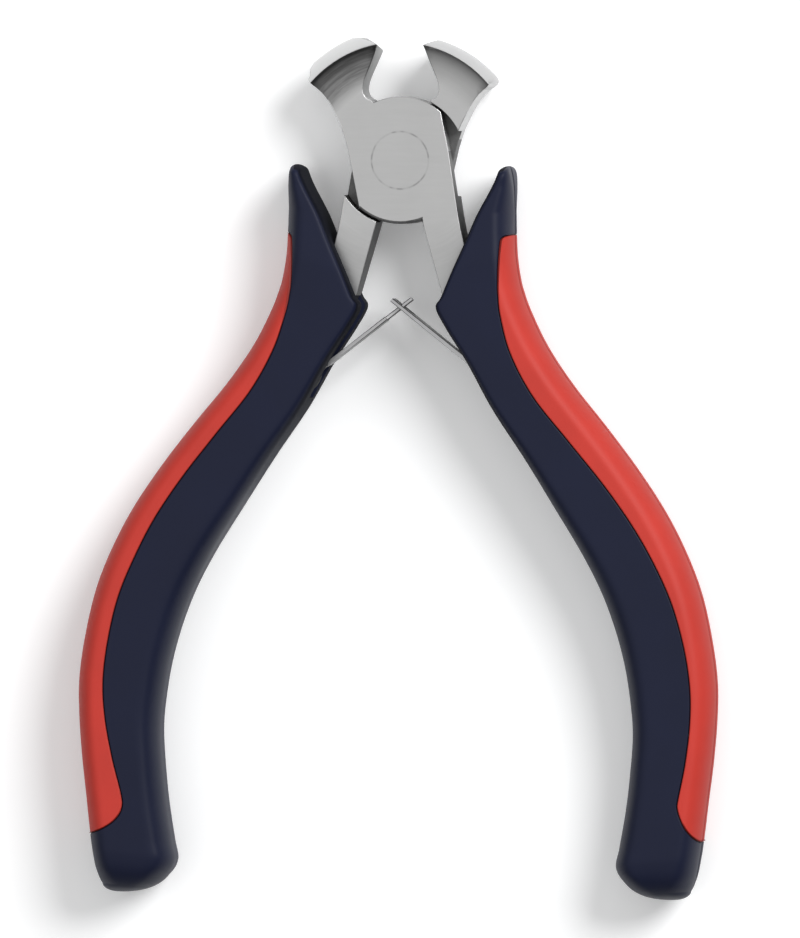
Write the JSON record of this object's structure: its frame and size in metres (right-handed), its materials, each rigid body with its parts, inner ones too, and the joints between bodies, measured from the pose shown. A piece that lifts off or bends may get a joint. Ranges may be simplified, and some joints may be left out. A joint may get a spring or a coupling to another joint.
{
  "type": "end cutting nippers",
  "caption": "End cutting nippers with flared crowned jaws, a half-lap rivet joint, interlocking leaf springs and curved two-colour moulded grips.",
  "frame": {"origin": "Middle of the part's box in plan, on the flat plane that the backs of both grips lie on, with the tool open at rest.", "axes": "+Y from the grips towards the jaws, +X to the right seen from the front plate's side, +Z out of the front face."},
  "size_m": [0.0818, 0.1092, 0.012],
  "materials": {
    "lever_steel": "fine satin ground tool steel",
    "spring_steel": "rolled strip, satin",
    "grip_navy": "moulded, satin",
    "inlay_red": "soft moulded elastomer, satin"
  },
  "bodies": {
    "front_half": {"front_lever": "lever_steel", "pivot_rivet": "lever_steel", "right_grip": "grip_navy", "right_grip_inlay": "inlay_red", "right_spring_foot": "spring_steel", "right_spring_rivet": "lever_steel"},
    "back_half": {"back_lever": "lever_steel", "left_grip": "grip_navy", "left_grip_inlay": "inlay_red", "left_spring_foot": "spring_steel", "left_spring_rivet": "lever_steel"},
    "left_leaf": {"left_spring_leaf": "spring_steel"},
    "right_leaf": {"right_spring_leaf": "spring_steel"}
  },
  "joints": [
    {"name": "pivot_hinge", "type": "hinge", "parent": "front_half", "child": "back_half", "pos_m": [0, 0.03908, 0.006], "axis": [0, 0, 1], "range_deg": [0, 22.4], "stiffness_Nm_per_rad": 0.5, "springref_deg": -8.59},
    {"name": "left_leaf_flex", "type": "hinge", "parent": "back_half", "child": "left_leaf", "pos_m": [-0.00925, 0.01309, 0.006], "axis": [0, 0, 1], "range_deg": [0, 22.5]},
    {"name": "right_leaf_flex", "type": "hinge", "parent": "front_half", "child": "right_leaf", "pos_m": [0.00925, 0.01309, 0.006], "axis": [0, 0, 1], "range_deg": [-22.5, 0]}
  ],
  "couplings": [
    {"joint": "left_leaf_flex", "follows": "pivot_hinge", "ratio": 0.9},
    {"joint": "right_leaf_flex", "follows": "pivot_hinge", "ratio": -0.9}
  ]
}
